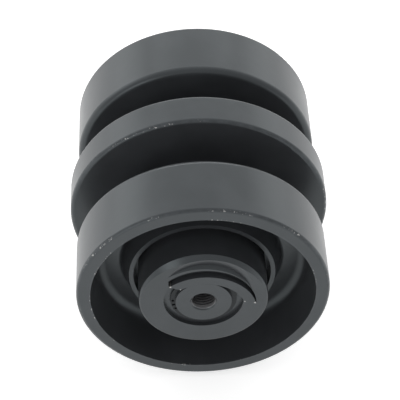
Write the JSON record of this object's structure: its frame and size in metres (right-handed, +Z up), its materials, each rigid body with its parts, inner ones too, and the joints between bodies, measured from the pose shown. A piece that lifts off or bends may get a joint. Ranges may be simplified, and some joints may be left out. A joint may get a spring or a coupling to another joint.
{
  "type": "track roller",
  "caption": "Triple-flange bottom track roller: a forged shell with two wide rims and a centre flange turns on a fixed shaft with sealed end collars and threaded ends.",
  "frame": {"origin": "centre of the roller, on its axis and midway between its two ends", "axes": "+Y along the roller axis from the near end to the far end, +Z up, +X to the right seen from the near end"},
  "size_m": [0.201, 0.2074, 0.201],
  "materials": {
    "shell_paint": "satin black paint over forged steel",
    "end_paint": "satin black paint over machined steel",
    "spring_steel": "spring steel under the same black paint",
    "seal_iron": "lapped hard iron",
    "rubber": "matt nitrile rubber",
    "bronze": "turned bronze",
    "plug_steel": "zinc plated"
  },
  "bodies": {
    "axle": {"shaft": "end_paint", "oil_plug": "plug_steel", "collar_near": "end_paint", "collar_far": "end_paint", "snap_ring_near": "spring_steel", "snap_ring_far": "spring_steel", "lock_keeper_near": "end_paint", "lock_keeper_far": "end_paint", "collar_o_ring_near": "rubber", "collar_o_ring_far": "rubber", "fixed_seal_ring_near": "seal_iron", "fixed_seal_ring_far": "seal_iron", "fixed_toric_near": "rubber", "fixed_toric_far": "rubber"},
    "roller": {"roller_shell": "shell_paint", "bushing_near": "bronze", "bushing_far": "bronze", "thrust_washer_near": "bronze", "thrust_washer_far": "bronze", "turning_seal_ring_near": "seal_iron", "turning_seal_ring_far": "seal_iron", "turning_toric_near": "rubber", "turning_toric_far": "rubber"}
  },
  "joints": [
    {"name": "shell_spin", "type": "hinge", "parent": "axle", "child": "roller", "pos_m": [0, 0, 0], "axis": [0, 1, 0], "continuous": true}
  ]
}
